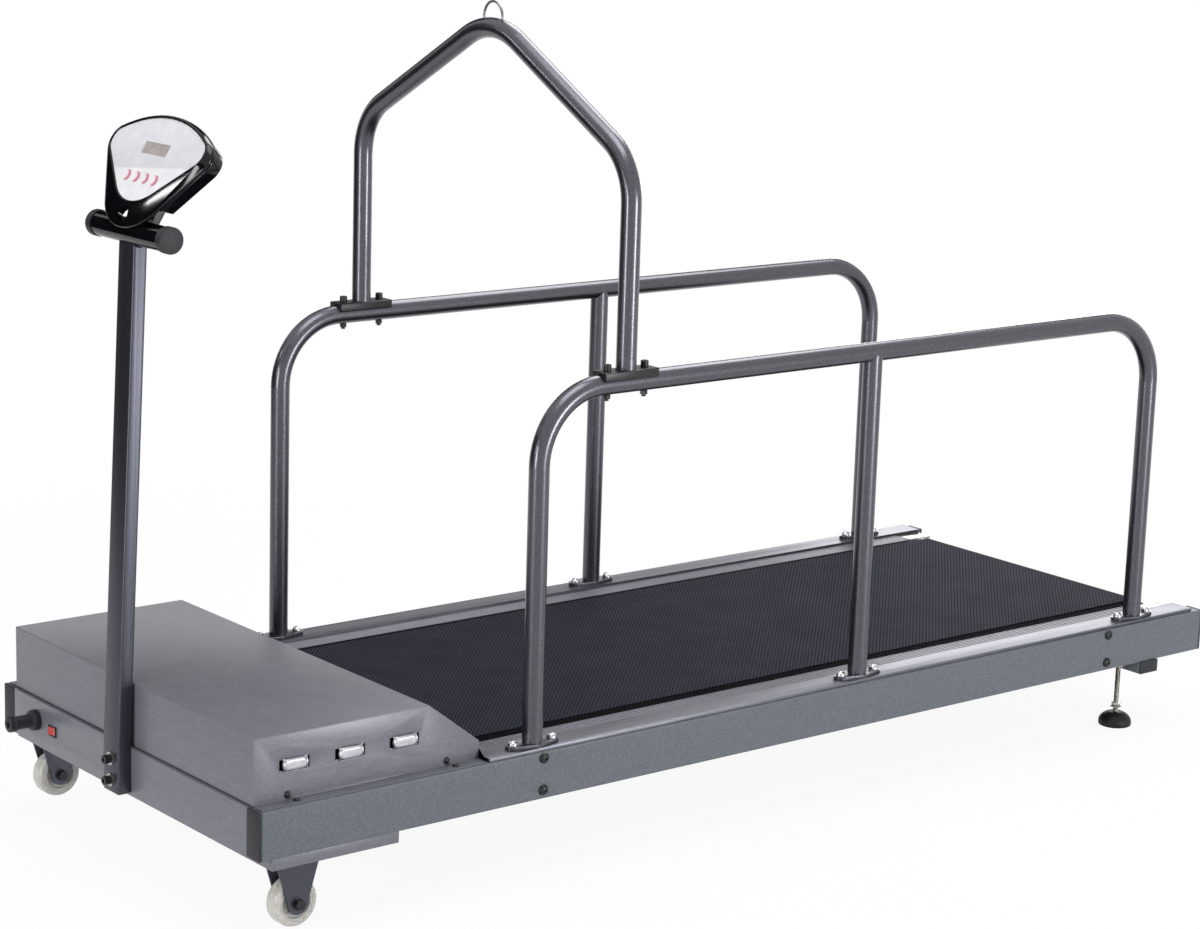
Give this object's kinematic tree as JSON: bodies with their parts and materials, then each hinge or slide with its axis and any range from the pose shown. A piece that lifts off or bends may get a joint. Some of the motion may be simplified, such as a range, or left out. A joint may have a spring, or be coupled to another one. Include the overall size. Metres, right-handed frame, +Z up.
{
  "type": "dog treadmill",
  "caption": "Motorised dog treadmill with a belt deck between box beams, side handrails, a pointed leash arch, a motor hood, a console on a post, front casters and rear levelling feet.",
  "frame": {"origin": "on the floor, under the middle of the part's box", "axes": "+X from the motor end to the rear end, +Y to the side with the power inlet, +Z up"},
  "size_m": [1.835, 0.681, 1.1403],
  "materials": {
    "beam_paint": "fine metallic powder coat",
    "hood_paint": "satin grey powder coat",
    "tube_paint": "gunmetal metallic lacquer",
    "post_paint": "dark grey powder coat",
    "cap_plastic": "moulded",
    "console_black": "gloss",
    "face_white": "printed film",
    "display_grey": "display window",
    "button_pink": "moulded",
    "circuit_board": "lacquered laminate",
    "rocker_red": "gloss",
    "belt_rubber": "fine diagonal texture",
    "deck_board": "black laminate",
    "rail_aluminium": "extruded, anodised",
    "bare_steel": "turned",
    "zinc_plate": "zinc plated",
    "bolt_chrome": "bright plated",
    "black_steel": "black oxide",
    "cast_iron": "machined",
    "wheel_plastic": "translucent moulded",
    "pad_rubber": "moulded"
  },
  "bodies": {
    "frame": {"side_beam_left": "beam_paint", "side_beam_right": "beam_paint", "tube_end_caps": "cap_plastic", "front_end_plate": "hood_paint", "motor_tray": "hood_paint", "deck_crossmembers": "beam_paint", "rear_foot_crossmember": "beam_paint", "beam_bolts": "black_steel", "running_deck": "deck_board", "running_belt": "belt_rubber", "foot_rail_left": "rail_aluminium", "foot_rail_right": "rail_aluminium", "roller_axles": "zinc_plate", "roller_axle_blocks": "zinc_plate", "adjuster_bolts": "zinc_plate", "drive_motor": "black_steel", "drive_belt": "belt_rubber", "motor_controller": "rail_aluminium", "motor_hood": "hood_paint", "vent_louvres": "rail_aluminium", "hood_screws": "black_steel", "power_inlet_gland": "cap_plastic", "switch_bezel": "cap_plastic", "console_post": "post_paint", "post_bolts": "black_steel", "console_crossbar": "console_black", "console_bracket": "console_black", "console_back": "console_black", "console_bezel": "console_black", "console_face": "face_white", "console_display": "display_grey", "console_board": "circuit_board", "handrail_left": "tube_paint", "handrail_right": "tube_paint", "rail_mid_posts": "tube_paint", "post_base_plates": "tube_paint", "base_plate_bolts": "bolt_chrome", "leash_arch": "tube_paint", "arch_saddles": "tube_paint", "arch_bolts": "black_steel", "leash_eye": "bare_steel", "caster_brackets": "post_paint", "caster_axles": "black_steel", "foot_nuts": "zinc_plate"},
    "front_roller": {"front_roller": "bare_steel", "roller_pulley": "bare_steel"},
    "rear_roller": {"rear_roller": "bare_steel"},
    "motor_rotor": {"motor_shaft": "bare_steel", "flywheel_pulley": "cast_iron"},
    "rocker": {"switch_rocker": "rocker_red"},
    "button_1": {"console_button_1": "button_pink"},
    "button_2": {"console_button_2": "button_pink"},
    "button_3": {"console_button_3": "button_pink"},
    "button_4": {"console_button_4": "button_pink"},
    "caster_left": {"caster_wheel_left": "wheel_plastic"},
    "caster_right": {"caster_wheel_right": "wheel_plastic"},
    "foot_left": {"foot_stud_left": "zinc_plate", "foot_pad_left": "pad_rubber"},
    "foot_right": {"foot_stud_right": "zinc_plate", "foot_pad_right": "pad_rubber"}
  },
  "joints": [
    {"name": "front_roller_spin", "type": "hinge", "parent": "frame", "child": "front_roller", "pos_m": [-0.5725, 0, 0.1487], "axis": [0, 1, 0], "continuous": true},
    {"name": "rear_roller_spin", "type": "hinge", "parent": "frame", "child": "rear_roller", "pos_m": [0.8605, 0, 0.1487], "axis": [0, 1, 0], "continuous": true},
    {"name": "motor_spin", "type": "hinge", "parent": "frame", "child": "motor_rotor", "pos_m": [-0.7575, 0.14, 0.141], "axis": [0, 1, 0], "continuous": true},
    {"name": "rocker_tilt", "type": "hinge", "parent": "frame", "child": "rocker", "pos_m": [-0.8705, 0.195, 0.135], "axis": [0, 0, 1], "range_deg": [-18, 0]},
    {"name": "button_1_press", "type": "slide", "parent": "frame", "child": "button_1", "axis": [0.848, 0, -0.5299], "range_m": [0, 0.001], "stiffness_N_per_m": 500},
    {"name": "button_2_press", "type": "slide", "parent": "frame", "child": "button_2", "axis": [0.848, 0, -0.5299], "range_m": [0, 0.001], "stiffness_N_per_m": 500},
    {"name": "button_3_press", "type": "slide", "parent": "frame", "child": "button_3", "axis": [0.848, 0, -0.5299], "range_m": [0, 0.001], "stiffness_N_per_m": 500},
    {"name": "button_4_press", "type": "slide", "parent": "frame", "child": "button_4", "axis": [0.848, 0, -0.5299], "range_m": [0, 0.001], "stiffness_N_per_m": 500},
    {"name": "caster_left_spin", "type": "hinge", "parent": "frame", "child": "caster_left", "pos_m": [-0.8065, -0.308, 0.0325], "axis": [0, 1, 0], "continuous": true},
    {"name": "caster_right_spin", "type": "hinge", "parent": "frame", "child": "caster_right", "pos_m": [-0.8065, 0.308, 0.0325], "axis": [0, 1, 0], "continuous": true},
    {"name": "foot_left_height", "type": "slide", "parent": "frame", "child": "foot_left", "axis": [0, 0, 1], "range_m": [-0.02, 0.02]},
    {"name": "foot_right_height", "type": "slide", "parent": "frame", "child": "foot_right", "axis": [0, 0, 1], "range_m": [-0.02, 0.02]}
  ],
  "couplings": [
    {"joint": "rear_roller_spin", "follows": "front_roller_spin", "ratio": 1},
    {"joint": "motor_spin", "follows": "front_roller_spin", "ratio": 2.8}
  ]
}
